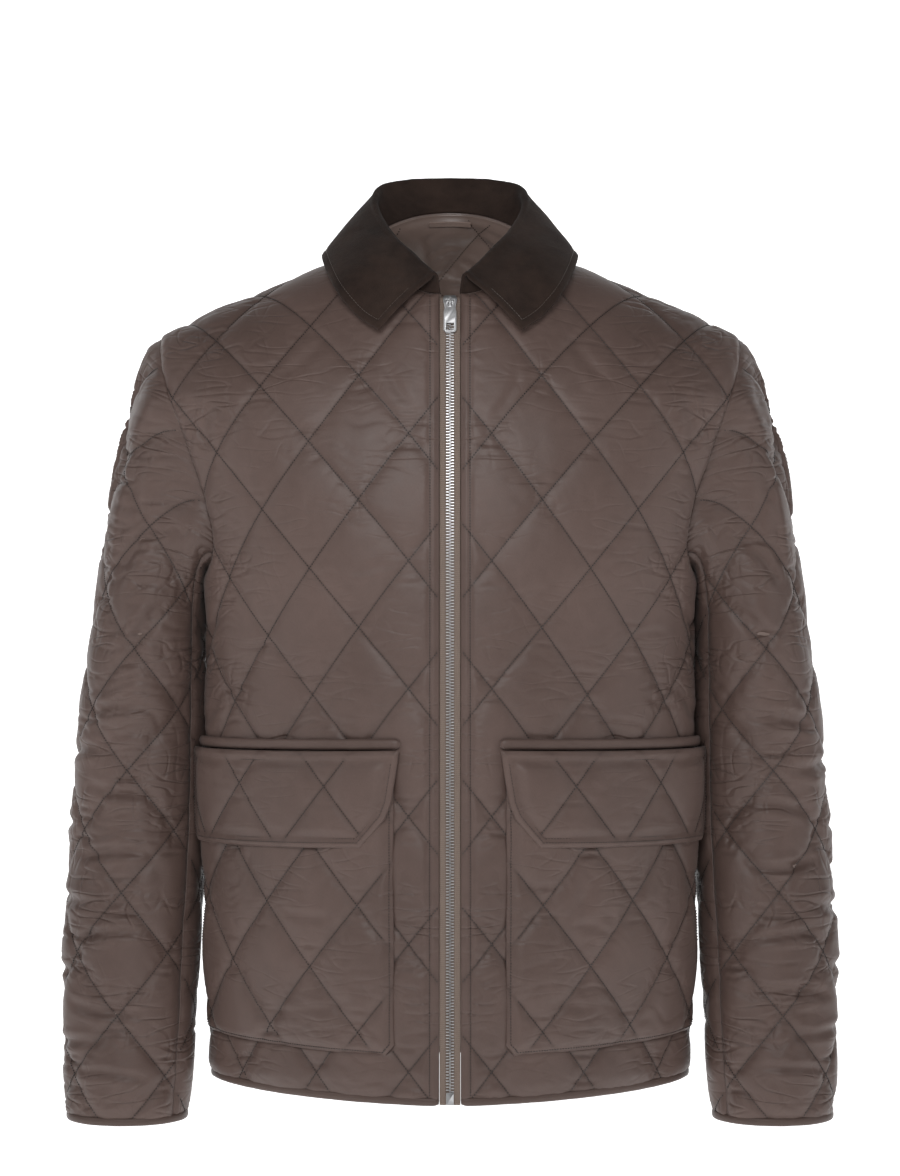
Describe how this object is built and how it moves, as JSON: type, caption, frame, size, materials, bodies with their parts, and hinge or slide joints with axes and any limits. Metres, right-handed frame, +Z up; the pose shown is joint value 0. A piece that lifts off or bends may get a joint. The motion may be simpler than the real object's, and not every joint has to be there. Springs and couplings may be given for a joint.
{
  "type": "quilted jacket",
  "caption": "Diamond-quilted zip jacket, filled out as worn, with a dark turn-down collar, flapped patch pockets and narrow bindings at hem and cuffs.",
  "frame": {"origin": "between the shoulders, where the wearer's shoulders and neck carry the jacket: on its middle plane, level with the neck end of the shoulder seams", "axes": "+X to the wearer's left across the middle plane, -Y to the front, +Z up"},
  "size_m": [0.68, 0.2679, 0.8271],
  "materials": {
    "shell_cloth": "brown nylon with a soft sheen, quilted in diamonds",
    "binding_cloth": "plain brown nylon, folded round the edge",
    "collar_cloth": "dark brown brushed cotton, matt with a short nap",
    "lining_cloth": "smooth brown lining with a sheen, quilted",
    "zip_tape": "herringbone woven tape, matt",
    "zip_metal": "bright nickel-plated metal"
  },
  "bodies": {
    "jacket": {"front_left": "shell_cloth", "front_right": "shell_cloth", "back": "shell_cloth", "sleeve_left_top": "shell_cloth", "sleeve_right_top": "shell_cloth", "sleeve_left_under": "shell_cloth", "sleeve_right_under": "shell_cloth", "cuff_binding_left": "binding_cloth", "cuff_binding_right": "binding_cloth", "hem_binding_left": "binding_cloth", "hem_binding_right": "binding_cloth", "hem_binding_back": "binding_cloth", "collar": "collar_cloth", "pocket_patch_left": "shell_cloth", "pocket_patch_right": "shell_cloth", "pocket_flap_left": "shell_cloth", "pocket_flap_right": "shell_cloth", "pocket_welt_left": "shell_cloth", "pocket_welt_right": "shell_cloth", "zip_tape_left": "zip_tape", "zip_tape_right": "zip_tape", "zip_chain": "zip_metal", "zip_box": "zip_metal", "zip_slider": "zip_metal", "back_lining": "lining_cloth", "hanger_loop": "binding_cloth"},
    "pull_tab": {"zip_pull_tab": "zip_metal"}
  },
  "joints": [
    {"name": "pull_tab_swing", "type": "hinge", "parent": "jacket", "child": "pull_tab", "pos_m": [0, -0.09669, -0.04647], "axis": [-1, 0, 0], "range_deg": [0, 150]}
  ]
}
